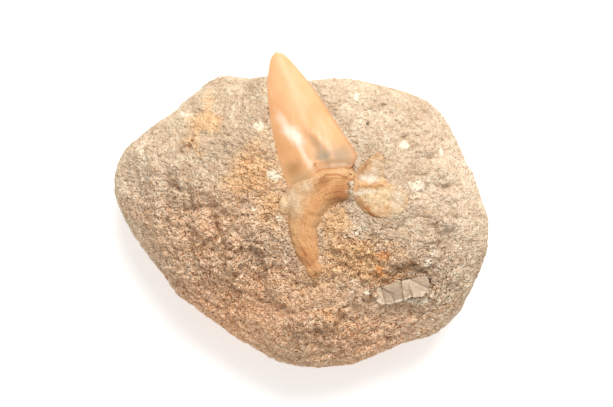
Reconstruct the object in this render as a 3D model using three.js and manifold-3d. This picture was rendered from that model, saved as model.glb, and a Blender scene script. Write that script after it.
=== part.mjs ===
// A fossil shark tooth in its matrix: a rounded lump of sandy limestone that lies on its flat
// back, with one large tooth set in its upper face and a scrap of flat shell beside it.
// Millimetres, +Z up. The origin is the middle of the flat underside. +X runs along the stone's
// length, and +Y towards the edge that the tooth's point reaches over.

import * as THREE from "three";
import { mergeVertices } from "three/addons/utils/BufferGeometryUtils.js";
import Module from "manifold-3d";

const wasm = await Module();
wasm.setup();

// Driving dimensions of the stone
const RIM_HEIGHT = 19; // the stone's widest level, above its flat underside
const TOP_RISE = 23; // crest above the rim
const UNDER_DEPTH = 21.5; // how far the underside would bulge below the rim if it weren't flat
const CREST_SHIFT = [3, 8]; // the crest lies off the middle, towards the tooth's point
const TOP_SQUARENESS = 2.4; // 2 is an ellipse, more is boxier
const UNDER_SQUARENESS = 2.9;
// Radius of the rim every 10 degrees, counter-clockwise from +X
const RIM_RADII = [
  60.0, 57.8, 56.5, 56.6, 57.0, 54.4, 51.0, 49.0, 46.7, 44.6, 47.6, 49.5,
  54.1, 54.4, 55.2, 58.6, 62.4, 61.8, 57.1, 52.2, 48.6, 46.9, 44.5, 43.3,
  43.5, 44.0, 46.2, 47.4, 48.2, 49.2, 49.9, 51.7, 56.8, 58.9, 59.5, 60.6,
];
// The stone's lumps, in layers. Round ones have creases between them. Beds lie level, so all
// are flatter than they are wide.
const LUMPS = [
  { wavelength: 27, height: 1.7, round: false },
  { wavelength: 13, height: 0.9, round: false },
  { wavelength: 8, height: 0.5, round: true },
];
const BED_FLATTENING = 1.6;
const RIM_CALM = 0.2; // share of the lumps' height that is left at the rim
const UPPER_FACE = [0.05, 0.4]; // lift above the rim, 0 to 1, over which the upper face begins

// Ledges on the upper face. The surface drops just past the line from `from` to `to`, on its
// right-hand side, and climbs back over `reach`.
const LEDGES = [
  { from: [-45, 17], to: [-24, 6], drop: 1.2, reach: 18 }, // left shoulder
  { from: [-24, 6], to: [-8, -12], drop: 1.0, reach: 16 }, // left shoulder, lower end
  { from: [12, -8], to: [38, -13], drop: 1.5, reach: 13 }, // above the shell
  { from: [36, 7], to: [54, -6], drop: 0.9, reach: 11 }, // right flank
  { from: [20, -27], to: [42, -24], drop: 1.3, reach: 11 }, // under the shell
  { from: [-26, -15], to: [0, -27], drop: 0.8, reach: 11 }, // lower left
  { from: [4, -38], to: [30, -31], drop: 0.8, reach: 9 }, // lower edge
];
const LEDGE_STEP = 4;
const LEDGE_ENDS = [-0.25, 0.2]; // where along its line a ledge fades in; it fades out alike
// Hollows and lumps on the upper face: middle, half-lengths in X and Y, and height
const MOUNDS = [
  { at: [-54, 10], reach: [5, 8], rise: -2.4 }, // valley behind the left end
  { at: [-33, -10], reach: [8, 5], rise: -1.6 },
  { at: [-8, 11.5], reach: [4, 3], rise: -1.4 }, // pit beside the crown
  { at: [18, 1.5], reach: [4.5, 3], rise: -1.6 }, // undercut of the right root lobe
  { at: [45, 20], reach: [9, 9], rise: 1.4 },
  { at: [-30, 32], reach: [12, 7], rise: 1.4 },
];

// Driving dimensions of the tooth. Every part of it is a sweep along a line, and its edges lie
// on one bowed surface.
const TOOTH_LEVEL = 41.8; // height of that surface at its highest
const TOOTH_BOW = { middle: [8, 4], x: 0.001, y: 0.0021 }; // how fast it drops away in X and Y
const CROWN_FOOT = [6.4, 15.2];
const CROWN_TIP = [-8.3, 54.1];
// Distance from the foot, half-widths left and right, rise of the visible face, depth of the
// buried one
const CROWN = [
  [-2.2, 0, 0, 0, 0],
  [-1.6, 9.8, 7.8, 2.5, 3.4],
  [-0.3, 11.5, 10.4, 3.5, 4.4],
  [1.5, 11.5, 12.2, 4.1, 4.8],
  [3.2, 11.5, 12.5, 4.2, 4.9],
  [7.4, 11.3, 11.5, 4.2, 4.9],
  [14, 10.7, 10.0, 4.0, 4.6],
  [20, 9.7, 8.6, 3.7, 4.2],
  [28, 7.8, 6.7, 3.1, 3.4],
  [34.5, 5.5, 4.6, 2.3, 2.5],
  [38.4, 3.5, 3.1, 1.6, 1.7],
  [40.6, 2.0, 1.8, 1.0, 1.0],
  [41.8, 0, 0, 0, 0],
];
// Valley along the crown's face, right of its middle; it fades out over its last half
const CROWN_FOLD = { from: [7.6, 12.5], to: [3.6, 38], depth: 0.9, width: 2.2 };
// Neck, root and cusplets: x, y, half-width, rise of the visible face, depth of the buried one
const NECK = [
  [15.8, 15.0, 0, 0, 0],
  [14.9, 15.0, 1.8, 1.7, 3],
  [12, 14.7, 3.2, 2.6, 4],
  [7, 13.9, 3.6, 3.0, 5],
  [3, 11.6, 4.4, 3.1, 5],
  [0, 8.6, 4.7, 2.8, 4],
  [-1.3, 5.0, 3.4, 2.3, 4],
  [-1.6, 2.2, 2.1, 1.9, 3],
  [-1.4, 0.0, 0, 0, 0],
];
const ROOT = [
  [32.0, 6.4, 0, 0, 0],
  [30.8, 6.6, 3.0, 0.5, 4],
  [28, 7.2, 4.8, 0.9, 5],
  [24.5, 7.3, 5.7, 1.5, 6],
  [21, 8.6, 4.6, 1.8, 6],
  [18, 9.9, 3.3, 1.6, 5],
  [15.5, 10.2, 3.2, 1.8, 5],
  [13, 10.6, 3.7, 2.2, 6],
  [10, 10.4, 4.3, 2.5, 6],
  [6.4, 9.0, 4.5, 2.6, 7],
  [3.4, 5.8, 4.4, 2.6, 6],
  [1.2, 2.0, 4.6, 2.4, 6],
  [0.3, -1.8, 4.5, 2.1, 6],
  [1.0, -6.4, 4.0, 1.9, 5],
  [2.2, -10.4, 3.1, 1.6, 4],
  [3.1, -13.4, 2.3, 1.2, 3],
  [3.9, -15.5, 2.3, 1.5, 3],
  [4.3, -17.2, 0, 0, 0],
];
const RIGHT_CUSPLET = [
  [22.4, 10.5, 0, 0, 0],
  [22.4, 12.0, 3.9, 1.2, 3],
  [21.9, 14.2, 4.1, 1.6, 3],
  [22.5, 16.4, 3.6, 1.6, 3],
  [23.2, 18.4, 3.0, 1.3, 2],
  [23.6, 20.2, 2.2, 0.9, 1],
  [23.7, 21.2, 0, 0, 0],
];
const LEFT_CUSPLET = [
  [-5.4, 3.0, 0, 0, 0],
  [-5.4, 4.6, 1.9, 1.2, 2],
  [-5.6, 6.8, 2.0, 1.4, 2],
  [-5.8, 8.9, 0, 0, 0],
];
// The buried middle of the root, which ties the cusplets to it below the stone's surface
const BURIED_ROOT = [
  [-6.5, 6, 0, 0, 0],
  [-2, 7, 4.5, 2.2, 2.5],
  [6, 8.5, 6.5, 3, 3.5],
  [14, 9.5, 6.5, 3, 3.5],
  [22, 10, 6, 2.6, 3],
  [29, 6.5, 4, 2, 2],
  [31, 6, 0, 0, 0],
];
const BURIED_DROP = 4.2;
const CUTTING_EDGE = 2; // section of the crown and cusplets: a lens with sharp edges
const ROUND_EDGE = 1.2; // section of the root: nearly an ellipse

// Driving dimensions of the shell scrap
const SHELL_MIDDLE = [32.0, -21.6];
const SHELL_LENGTH = 16.5;
const SHELL_WIDTH = 7.6;
const SHELL_THICKNESS = 2.4;
const SHELL_TURN = THREE.MathUtils.degToRad(9);
const SHELL_TILT = THREE.MathUtils.degToRad(14); // its lower edge dips with the flank
const SHELL_PROUD = 1.2; // middle of its face above the stone around it
const SHELL_CRACKS = [-4.2, 1.6, 5.2]; // along its length; the face changes slope at each
const SHELL_SLOPES = { start: 0.05, odd: 0.16, even: -0.13 }; // slope at its left end, and changes

const COLLAR_RISE = 0.2; // the stone laps this high over the tooth's edges
const COLLAR_REACH = [-1.1, -0.1]; // place by insideTooth over which it comes up to them
const COLLAR_LUMPS = 0.12; // share of the lumps' height that is left there
const FIT_GAP = 0.35; // clearance of tooth and shell in their sockets
const STONE_DETAIL = 14; // subdivisions of the stone's 20 first faces
const SLIVER = 0.02; // detail smaller than this is dropped where bodies were joined or cut

// Small maths helpers
const { clamp, lerp, smoothstep } = THREE.MathUtils;

// A repeatable number from 0 to 1 for a whole-number place in space.
function speck(i, j, k) {
  let h = Math.imul(i, 374761393) ^ Math.imul(j, 668265263) ^ Math.imul(k, 1274126177);
  h = Math.imul(h ^ (h >>> 13), 1103515245);
  return ((h ^ (h >>> 16)) >>> 0) / 4294967296;
}

// Smooth noise from -1 to 1: specks at the corners of a unit grid, blended between them.
function smoothNoise(x, y, z) {
  const [i, j, k] = [Math.floor(x), Math.floor(y), Math.floor(z)];
  const ease = (f) => f * f * (3 - 2 * f);
  const [u, v, w] = [ease(x - i), ease(y - j), ease(z - k)];
  const row = (dj, dk) => lerp(speck(i, j + dj, k + dk), speck(i + 1, j + dj, k + dk), u);
  return 2 * lerp(lerp(row(0, 0), row(1, 0), v), lerp(row(0, 1), row(1, 1), v), w) - 1;
}

// The value at fraction f between b and c, on a smooth curve through a, b, c and d.
function throughFour(a, b, c, d, f) {
  return b + 0.5 * f * (c - a + f * (2 * a - 5 * b + 4 * c - d + f * (3 * (b - c) + d - a)));
}

// Radius of the stone's rim at an angle: a smooth closed curve through RIM_RADII.
function rimRadius(angle) {
  const count = RIM_RADII.length;
  const place = ((angle / (2 * Math.PI)) * count + count) % count;
  const i = Math.floor(place);
  const near = [-1, 0, 1, 2].map((step) => RIM_RADII[(i + step + count) % count]);
  return throughFour(...near, place - i);
}

// A row between the rows of a table, on smooth curves through them; f runs from 0 to 1.
function tableRow(rows, f) {
  const place = clamp(f, 0, 1) * (rows.length - 1);
  const i = Math.min(Math.floor(place), rows.length - 2);
  const near = [-1, 0, 1, 2].map((step) => rows[clamp(i + step, 0, rows.length - 1)]);
  return rows[0].map((_, column) => throughFour(...near.map((row) => row[column]), place - i));
}

// Height of the surface on which the tooth's edges lie.
function toothLevel(x, y) {
  const { middle, x: bowX, y: bowY } = TOOTH_BOW;
  return TOOTH_LEVEL - bowX * (x - middle[0]) ** 2 - bowY * (y - middle[1]) ** 2;
}

// Place along a line from `from` to `to` (0 to 1) and distance to its right, in millimetres.
function alongAndAcross(x, y, from, to) {
  const [ax, ay] = [to[0] - from[0], to[1] - from[1]];
  const length = Math.hypot(ax, ay);
  const [px, py] = [x - from[0], y - from[1]];
  return [(px * ax + py * ay) / length ** 2, (px * ay - py * ax) / length];
}

// Every table as rows of x, y, half-widths left and right, rise and depth.
const crownRows = CROWN.map(([s, left, right, rise, depth]) => {
  const f = s / Math.hypot(CROWN_TIP[0] - CROWN_FOOT[0], CROWN_TIP[1] - CROWN_FOOT[1]);
  const x = lerp(CROWN_FOOT[0], CROWN_TIP[0], f);
  return [x, lerp(CROWN_FOOT[1], CROWN_TIP[1], f), left, right, rise, depth];
});
const evenRows = (rows) => rows.map(([x, y, half, rise, depth]) => [x, y, half, half, rise, depth]);

const SWEEPS = [
  { rows: crownRows, edge: CUTTING_EDGE, drop: 0, along: 24, around: 24, fold: true },
  { rows: evenRows(NECK), edge: ROUND_EDGE, drop: 0, along: 16, around: 14 },
  { rows: evenRows(ROOT), edge: ROUND_EDGE, drop: 0, along: 34, around: 16 },
  { rows: evenRows(RIGHT_CUSPLET), edge: CUTTING_EDGE, drop: 0, along: 12, around: 14 },
  { rows: evenRows(LEFT_CUSPLET), edge: CUTTING_EDGE, drop: 0, along: 8, around: 12 },
  { rows: evenRows(BURIED_ROOT), edge: ROUND_EDGE, drop: BURIED_DROP, along: 12, around: 14 },
];

// Depth of the valley along the crown's face.
function foldDepth(x, y) {
  const [t, across] = alongAndAcross(x, y, CROWN_FOLD.from, CROWN_FOLD.to);
  const fade = 1 - smoothstep(t, 0.5, 1);
  return CROWN_FOLD.depth * fade * Math.exp(-((across / CROWN_FOLD.width) ** 2));
}

// One sweep as a ball pulled into shape: poles at the ends of its line, and at each place a
// section with its own half-widths, rise and depth.
function sweepGeometry({ rows, edge, drop, along, around, fold }) {
  const ball = new THREE.SphereGeometry(1, around, along);
  const place = ball.attributes.position;
  for (let i = 0; i < place.count; i++) {
    const f = (1 - place.getY(i)) / 2;
    const size = Math.hypot(place.getX(i), place.getZ(i));
    const [c, s] = size > 1e-6 ? [-place.getX(i) / size, place.getZ(i) / size] : [0, 0];
    const [x, y, left, right, rise, depth] = tableRow(rows, f);
    const before = tableRow(rows, f - 0.02);
    const after = tableRow(rows, f + 0.02);
    const [dx, dy] = [after[0] - before[0], after[1] - before[1]];
    const across = (c * (c < 0 ? left : right)) / Math.hypot(dx, dy);
    const lift = Math.sign(s) * Math.abs(s) ** edge * (s > 0 ? rise : depth);
    const [px, py] = [x + across * dy, y - across * dx];
    const valley = fold && s > 0 ? foldDepth(px, py) * Math.min(rise / 3, 1) * s ** 2 : 0;
    place.setXYZ(i, px, py, toothLevel(px, py) - drop + lift - valley);
  }
  return ball;
}

// How far a place lies inside the tooth's visible outline: 0 on it and 1 on a sweep's line.
function insideTooth(x, y) {
  let best = -Infinity;
  for (const { rows, drop } of SWEEPS) {
    if (drop > 0) continue;
    for (let i = 0; i + 1 < rows.length; i++) {
      const [a, b] = [rows[i], rows[i + 1]];
      const [t, side] = alongAndAcross(x, y, a, b);
      const f = clamp(t, 0, 1);
      const column = side < 0 ? 2 : 3;
      const half = Math.max(lerp(a[column], b[column], f), 0.3);
      const distance = Math.hypot(x - lerp(a[0], b[0], f), y - lerp(a[1], b[1], f));
      best = Math.max(best, 1 - distance / half);
    }
  }
  return best;
}

// Change of the upper face's height by ledges and mounds.
function faceForms(x, y) {
  let rise = 0;
  for (const { from, to, drop, reach } of LEDGES) {
    const [t, across] = alongAndAcross(x, y, from, to);
    const ends = smoothstep(t, ...LEDGE_ENDS) * smoothstep(1 - t, ...LEDGE_ENDS);
    const step = smoothstep(across, 0, LEDGE_STEP) * (1 - smoothstep(across, LEDGE_STEP, reach));
    rise -= drop * ends * step;
  }
  for (const { at, reach, rise: height } of MOUNDS) {
    const [u, v] = [(x - at[0]) / reach[0], (y - at[1]) / reach[1]];
    rise += height * Math.exp(-(u * u + v * v));
  }
  return rise;
}

// The stone's surface in a direction from its middle. A boxy, flattened ball follows the rim's
// outline; lumps stand out along its normal, and the upper face takes its ledges and mounds and
// comes up to meet the tooth.
function stonePoint(dx, dy, dz) {
  const angle = Math.atan2(dy, dx);
  const out = Math.hypot(dx, dy);
  const squareness = dz > 0 ? TOP_SQUARENESS : UNDER_SQUARENESS;
  const rise = (dz > 0 ? TOP_RISE : -UNDER_DEPTH) * Math.abs(dz) ** (2 / squareness);
  const crestward = Math.max(dz, 0) ** 1.5;
  const radius = rimRadius(angle) * out ** (2 / squareness);
  const p = new THREE.Vector3(
    CREST_SHIFT[0] * crestward + radius * Math.cos(angle),
    CREST_SHIFT[1] * crestward + radius * Math.sin(angle),
    RIM_HEIGHT + rise,
  );
  const steepness = 2 - 2 / squareness;
  const normal = new THREE.Vector3(
    (Math.cos(angle) * out ** steepness) / rimRadius(angle),
    (Math.sin(angle) * out ** steepness) / rimRadius(angle),
    (Math.sign(dz) * Math.abs(dz) ** steepness) / (dz > 0 ? TOP_RISE : UNDER_DEPTH),
  ).normalize();
  const lumps = LUMPS.reduce((sum, { wavelength: w, height, round }, layer) => {
    const n = smoothNoise(p.x / w + 17 * layer, p.y / w, (p.z * BED_FLATTENING) / w);
    return sum + height * (round ? 3 * Math.abs(n) - 0.8 : n);
  }, 0);
  const edgewise = lerp(RIM_CALM, 1, smoothstep(Math.abs(dz), 0, 0.4)); // the outline stays true
  p.addScaledVector(normal, lumps * edgewise);

  const upper = smoothstep(dz, ...UPPER_FACE);
  p.z += upper * faceForms(p.x, p.y);
  const collar = upper * smoothstep(insideTooth(p.x, p.y), ...COLLAR_REACH);
  p.z = lerp(p.z, toothLevel(p.x, p.y) + COLLAR_RISE + COLLAR_LUMPS * lumps, collar);
  p.z = Math.max(p.z, 0);
  return p;
}

function stoneGeometry() {
  const ball = new THREE.IcosahedronGeometry(1, STONE_DETAIL);
  const place = ball.attributes.position;
  for (let i = 0; i < place.count; i++) {
    const p = stonePoint(place.getX(i), place.getY(i), place.getZ(i));
    place.setXYZ(i, p.x, p.y, p.z);
  }
  return ball;
}

// Height of a surface at a place in plan, from a ray straight down.
function heightAt(geometry, x, y) {
  const above = new THREE.Vector3(x, y, 2 * TOOTH_LEVEL);
  const ray = new THREE.Raycaster(above, new THREE.Vector3(0, 0, -1));
  return ray.intersectObject(new THREE.Mesh(geometry))[0].point.z;
}

// The shell scrap: a thin slab with a wavy outline, whose face breaks into flats at its cracks.
function shellGeometry() {
  const slab = new THREE.BoxGeometry(1, 1, 1, 14, 4, 1);
  const place = slab.attributes.position;
  for (let i = 0; i < place.count; i++) {
    const [u, v, w] = [place.getX(i), place.getY(i), place.getZ(i)];
    const x = u * SHELL_LENGTH;
    const narrowing = (1 - 0.6 * (2 * Math.abs(u)) ** 6) * (1 + 0.1 * Math.sin(9 * u));
    const y = v * SHELL_WIDTH * narrowing + 0.5 * Math.sin(5 * u + 1);
    const slopes = SHELL_CRACKS.reduce(
      (sum, crack, n) => sum + SHELL_SLOPES[n % 2 ? "odd" : "even"] * Math.max(x - crack, 0),
      SHELL_SLOPES.start * x,
    );
    place.setXYZ(i, x, y, w > 0 ? slopes : -SHELL_THICKNESS);
  }
  return slab;
}

// A closed mesh with its corners merged, `grown` outwards along its normals.
function asSolid(geometry, matrix = new THREE.Matrix4(), grown = 0) {
  const bare = geometry.clone().applyMatrix4(matrix);
  bare.deleteAttribute("normal");
  bare.deleteAttribute("uv");
  const merged = mergeVertices(bare, 1e-4);
  merged.computeVertexNormals();
  const { position: place, normal } = merged.attributes;
  for (let i = 0; i < place.count; i++) {
    const [x, y, z] = [place.getX(i), place.getY(i), place.getZ(i)];
    const [nx, ny, nz] = [normal.getX(i), normal.getY(i), normal.getZ(i)];
    place.setXYZ(i, x + grown * nx, y + grown * ny, z + grown * nz);
  }
  return new wasm.Manifold(
    new wasm.Mesh({
      numProp: 3,
      vertProperties: new Float32Array(place.array),
      triVerts: new Uint32Array(merged.index.array),
    }),
  );
}

function asGeometry(solid) {
  const { vertProperties, triVerts } = solid.getMesh();
  const geometry = new THREE.BufferGeometry();
  geometry.setAttribute("position", new THREE.BufferAttribute(vertProperties, 3));
  geometry.setIndex(new THREE.BufferAttribute(triVerts, 1));
  geometry.computeVertexNormals();
  return geometry;
}

function namedMesh(name, geometry, color, roughness) {
  const mesh = new THREE.Mesh(
    geometry,
    new THREE.MeshStandardMaterial({ color, roughness, metalness: 0 }),
  );
  mesh.name = name;
  return mesh;
}

const largestBody = (solid) =>
  solid.decompose().reduce((best, body) => (body.volume() > best.volume() ? body : best));

const sweeps = SWEEPS.map(sweepGeometry);
const joined = (grown) =>
  wasm.Manifold.union(sweeps.map((sweep) => asSolid(sweep, undefined, grown)));
const toothBody = largestBody(joined(0).simplify(SLIVER));
const tooth = namedMesh("shark_tooth", asGeometry(toothBody), "#dfae74", 0.3);

const lump = stoneGeometry();
const shell = namedMesh("shell_scrap", shellGeometry(), "#b9a389", 0.6);
shell.position.set(...SHELL_MIDDLE, heightAt(lump, ...SHELL_MIDDLE) + SHELL_PROUD);
shell.rotation.set(SHELL_TILT, 0, SHELL_TURN, "ZXY");
shell.updateMatrix();

// The stone, less the sockets of tooth and shell; only its main body is kept.
const socketed = asSolid(lump)
  .subtract(joined(FIT_GAP))
  .subtract(asSolid(shell.geometry, shell.matrix, FIT_GAP));
const stoneBody = largestBody(socketed.simplify(SLIVER));
const stone = namedMesh("matrix_stone", asGeometry(stoneBody), "#cdb391", 0.95);

const fossil = new THREE.Group();
fossil.add(stone, tooth, shell);
export default fossil;
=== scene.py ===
"""A fossil shark tooth in a rounded lump of sandy limestone, lying on its flat back.

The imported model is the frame. Every piece here is a surface worked out with numpy on a grid of
two parameters, in millimetres, and stands for a node of the frame. The crown and the root share
the tooth's node. The sidebar panel lists the pieces with the sizes and colours that they are made
from.
"""

import math

import bpy
import numpy as np
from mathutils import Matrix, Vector


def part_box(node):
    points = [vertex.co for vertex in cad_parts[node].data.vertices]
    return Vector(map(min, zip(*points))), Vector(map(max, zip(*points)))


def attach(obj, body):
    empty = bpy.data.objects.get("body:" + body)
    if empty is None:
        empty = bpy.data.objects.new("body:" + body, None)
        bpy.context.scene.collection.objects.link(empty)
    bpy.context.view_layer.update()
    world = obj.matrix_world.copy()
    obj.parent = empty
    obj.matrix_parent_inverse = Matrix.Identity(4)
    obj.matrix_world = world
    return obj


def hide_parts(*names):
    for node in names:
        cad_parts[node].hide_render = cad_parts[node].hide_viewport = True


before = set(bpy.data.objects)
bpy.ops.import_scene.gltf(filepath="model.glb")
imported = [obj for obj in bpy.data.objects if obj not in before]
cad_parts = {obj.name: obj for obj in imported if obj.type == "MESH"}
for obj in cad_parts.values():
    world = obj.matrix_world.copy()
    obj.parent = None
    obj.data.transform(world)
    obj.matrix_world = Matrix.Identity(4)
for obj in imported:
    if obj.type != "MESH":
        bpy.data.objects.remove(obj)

bl_info = {
    "name": "Fossil Shark Tooth in Matrix",
    "version": (1, 0, 0),
    "blender": (4, 5, 0),
    "location": "View3D > Sidebar > Fossil",
    "description": "Builds a fossil shark tooth with its stone and a scrap of shell",
    "category": "Add Mesh",
}

MM = 0.001
TURN = 2 * math.pi

# The stone's main form, with the same values as its solid
CREST_SHIFT = (3, 8)
TOP_SQUARENESS = 2.4
UNDER_SQUARENESS = 2.9
UNDER_DEPTH = 21.5
RIM_RADII = (
    60.0, 57.8, 56.5, 56.6, 57.0, 54.4, 51.0, 49.0, 46.7, 44.6, 47.6, 49.5,
    54.1, 54.4, 55.2, 58.6, 62.4, 61.8, 57.1, 52.2, 48.6, 46.9, 44.5, 43.3,
    43.5, 44.0, 46.2, 47.4, 48.2, 49.2, 49.9, 51.7, 56.8, 58.9, 59.5, 60.6,
)
# Wavelength and height of each layer of lumps, and whether it is round with creases between
LUMPS = ((27, 1.7, False), (13, 0.9, False), (8, 0.5, True))
BED_FLATTENING = 1.6
# Crumbs too small for the solid: wavelength, height, round or not, and flattening
CRUMBS = (
    (4.4, 0.34, False, 1.8),
    (2.6, 0.30, True, 1.4),
    (1.5, 0.30, False, 1.0),
    (1.0, 0.26, False, 1.0),
)
# Ledges of the upper face: from, to, drop, and how far it takes to climb back
LEDGES = (
    ((-45, 17), (-24, 6), 1.2, 18),
    ((-24, 6), (-8, -12), 1.0, 16),
    ((12, -8), (38, -13), 1.5, 13),
    ((36, 7), (54, -6), 0.9, 11),
    ((20, -27), (42, -24), 1.3, 11),
    ((-26, -15), (0, -27), 0.8, 11),
    ((4, -38), (30, -31), 0.8, 9),
)
LEDGE_STEP = 4
# Hollows and lumps of the upper face: middle, half-lengths and height
MOUNDS = (
    ((-54, 10), (5, 8), -2.4),
    ((-33, -10), (8, 5), -1.6),
    ((-8, 11.5), (4, 3), -1.4),
    ((18, 1.5), (4.5, 3), -1.6),
    ((45, 20), (9, 9), 1.4),
    ((-30, 32), (12, 7), 1.4),
)
# How the stone meets the pieces: the collar that comes up to the tooth's edges with a share of the
# lumps, the step and the groove beside the crown, how far the stone sinks below each piece, and how
# much of the root the strip covers
COLLAR_RISE = 0.2
COLLAR_LUMPS = 0.12
CROWN_STEP = 0.35
CROWN_GROOVE = 0.3
SUNK_BELOW_CROWN = 4
SUNK_BELOW_ROOT = 1.4
SUNK_BELOW_SHELL = 2.2
STRIP_COVER = 0.8
# Depth of the crumbs' relief at which a hollow is full of grime and painted shade
HOLLOW_DEPTH = 1.5

# The tooth, with the same values as its solid
TOOTH_BOW = ((8, 4), 0.001, 0.0021)
CROWN_FOOT = (6.4, 15.2)
CROWN_TIP = (-8.3, 54.1)
CROWN_LENGTH = math.dist(CROWN_FOOT, CROWN_TIP)
CROWN_AIM = tuple((tip - foot) / CROWN_LENGTH for foot, tip in zip(CROWN_FOOT, CROWN_TIP))
# Distance from the foot, half-widths left and right, rise of the seen face, depth of the buried one
CROWN = (
    (-2.2, 0, 0, 0, 0),
    (-1.6, 9.8, 7.8, 2.5, 3.4),
    (-0.3, 11.5, 10.4, 3.5, 4.4),
    (1.5, 11.5, 12.2, 4.1, 4.8),
    (3.2, 11.5, 12.5, 4.2, 4.9),
    (7.4, 11.3, 11.5, 4.2, 4.9),
    (14, 10.7, 10.0, 4.0, 4.6),
    (20, 9.7, 8.6, 3.7, 4.2),
    (28, 7.8, 6.7, 3.1, 3.4),
    (34.5, 5.5, 4.6, 2.3, 2.5),
    (38.4, 3.5, 3.1, 1.6, 1.7),
    (40.6, 2.0, 1.8, 1.0, 1.0),
    (41.8, 0, 0, 0, 0),
)
CROWN_START = CROWN[0][0]
# The valley right of the crown's middle: from, to, depth and width
CROWN_FOLD = ((7.6, 12.5), (3.6, 38), 0.9, 2.2)
# The enamel's lower margin: distance across the crown, and how far it dips or arches
MARGIN = ((-12.4, -9.7, -5, -3, -1.2, 1.9, 9.6, 12), (-0.6, 0.9, 0.7, 1.2, 2.9, 2.2, -0.2, -0.4))
# x, y, half-width, rise of the seen face and depth of the buried one
NECK = (
    (15.8, 15.0, 0, 0, 0),
    (14.9, 15.0, 1.8, 1.7, 3),
    (12, 14.7, 3.2, 2.6, 4),
    (7, 13.9, 3.6, 3.0, 5),
    (3, 11.6, 4.4, 3.1, 5),
    (0, 8.6, 4.7, 2.8, 4),
    (-1.3, 5.0, 3.4, 2.3, 4),
    (-1.6, 2.2, 2.1, 1.9, 3),
    (-1.4, 0.0, 0, 0, 0),
)
ROOT = (
    (32.0, 6.4, 0, 0, 0),
    (30.8, 6.6, 3.0, 0.5, 4),
    (28, 7.2, 4.8, 0.9, 5),
    (24.5, 7.3, 5.7, 1.5, 6),
    (21, 8.6, 4.6, 1.8, 6),
    (18, 9.9, 3.3, 1.6, 5),
    (15.5, 10.2, 3.2, 1.8, 5),
    (13, 10.6, 3.7, 2.2, 6),
    (10, 10.4, 4.3, 2.5, 6),
    (6.4, 9.0, 4.5, 2.6, 7),
    (3.4, 5.8, 4.4, 2.6, 6),
    (1.2, 2.0, 4.6, 2.4, 6),
    (0.3, -1.8, 4.5, 2.1, 6),
    (1.0, -6.4, 4.0, 1.9, 5),
    (2.2, -10.4, 3.1, 1.6, 4),
    (3.1, -13.4, 2.3, 1.2, 3),
    (3.9, -15.5, 2.3, 1.5, 3),
    (4.3, -17.2, 0, 0, 0),
)
RIGHT_CUSPLET = (
    (22.4, 10.5, 0, 0, 0),
    (22.4, 12.0, 3.9, 1.2, 3),
    (21.9, 14.2, 4.1, 1.6, 3),
    (22.5, 16.4, 3.6, 1.6, 3),
    (23.2, 18.4, 3.0, 1.3, 2),
    (23.6, 20.2, 2.2, 0.9, 1),
    (23.7, 21.2, 0, 0, 0),
)
LEFT_CUSPLET = (
    (-5.4, 3.0, 0, 0, 0),
    (-5.4, 4.6, 1.9, 1.2, 2),
    (-5.6, 6.8, 2.0, 1.4, 2),
    (-5.8, 8.9, 0, 0, 0),
)
# The blanket that the root's seen face is drawn on: x, y, and its reach to either side. It is
# wider than the root, and lies below the stone's surface where there is no root.
BLANKET = (
    (34.5, 5.6, 0, 0),
    (33, 6.0, 5, 6),
    (28, 7.2, 8, 15),
    (24, 7.6, 8, 15.5),
    (20, 9.0, 6.5, 14),
    (16, 10.2, 5, 8),
    (13, 10.6, 5, 8),
    (9.5, 10.2, 5.2, 8),
    (6.4, 9.0, 5.4, 8),
    (3.4, 5.8, 5.6, 9),
    (1.2, 2.0, 5.8, 9.5),
    (0.3, -1.8, 6, 7.5),
    (1.0, -6.4, 6, 6),
    (2.2, -10.4, 5.5, 5),
    (3.1, -13.4, 5, 4.5),
    (4.0, -16.5, 4.5, 4.5),
    (4.6, -19, 3, 3),
    (5.0, -20.6, 0, 0),
)
# How far below the tooth's level its seen side lies where there is no root, and its underside
BLANKET_DEPTH = 2.6
BLANKET_UNDERSIDE = 4.6
# Where the right lobe begins, across x
LOBE_START = (16, 19)
# Heights of fine form: the crown's ridge, swell and ribs, and how far its face sinks to keep them
# inside the solid; the root's fibres, swell, grain off and on the lobe, folds, rim and band
CROWN_RIDGE = 0.34
CROWN_SWELL = 0.28
CROWN_RIBS = (0.03, 0.02)
CROWN_SINK = 0.16
ROOT_FIBRES = (0.07, 0.03)
ROOT_SWELL = 0.22
ROOT_GRAIN = (0.05, 0.22)
ROOT_FOLDS = 0.16
RIM_LIP = 0.22
BAND_LIP = 0.5
# Fillet between the root's parts, how far their outline wanders, and how many stretches each
# part's line is cut into
PARTS_BLEND = 1.0
ROOT_WANDER = 0.3
PART_STRETCHES = 79
# Powers that make a part's edge sharp or round
CUTTING_EDGE = 2
ROUND_EDGE = 1.2
# Rows and columns of the grids: the blanket has its own number for the underside
CROWN_GRID = (340, 220)
BLANKET_GRID = (330, 150, 24)
SHELL_GRID = (60, 240)

# Places of the root that hold no sand: middle, half-lengths and strength
CLEAN_PLACES = (((21.3, 14.2), (3.4, 1.6), 1.0),)

# The strip of stone that crosses the root: from, to and half-width
STRIP = ((15.7, 13.2), (15.4, 5.6), 1.7)

# The shell scrap
SHELL_MIDDLE = (32.0, -21.6)
SHELL_OUTLINE = (
    (23.5, -21.3), (25.7, -20.6), (28.8, -19.5), (31.4, -18.8), (35.1, -18.0), (39.3, -17.3),
    (40.4, -18.4), (40.2, -21.2), (38.8, -23.9), (35.1, -23.9), (32.0, -25.0), (30.0, -25.9),
    (25.0, -26.3), (23.9, -25.0), (23.7, -22.4),
)
# Its face lies this far above the middle of its solid, and rises by this share of y
SHELL_LIFT = 0.5
SHELL_TILT = 0.25
# How deep a crack is, and how far the face steps at the first, third and so on, and at the rest
CRACK_DEPTH = 0.26
CRACK_STEPS = (-0.12, 0.15)
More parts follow.
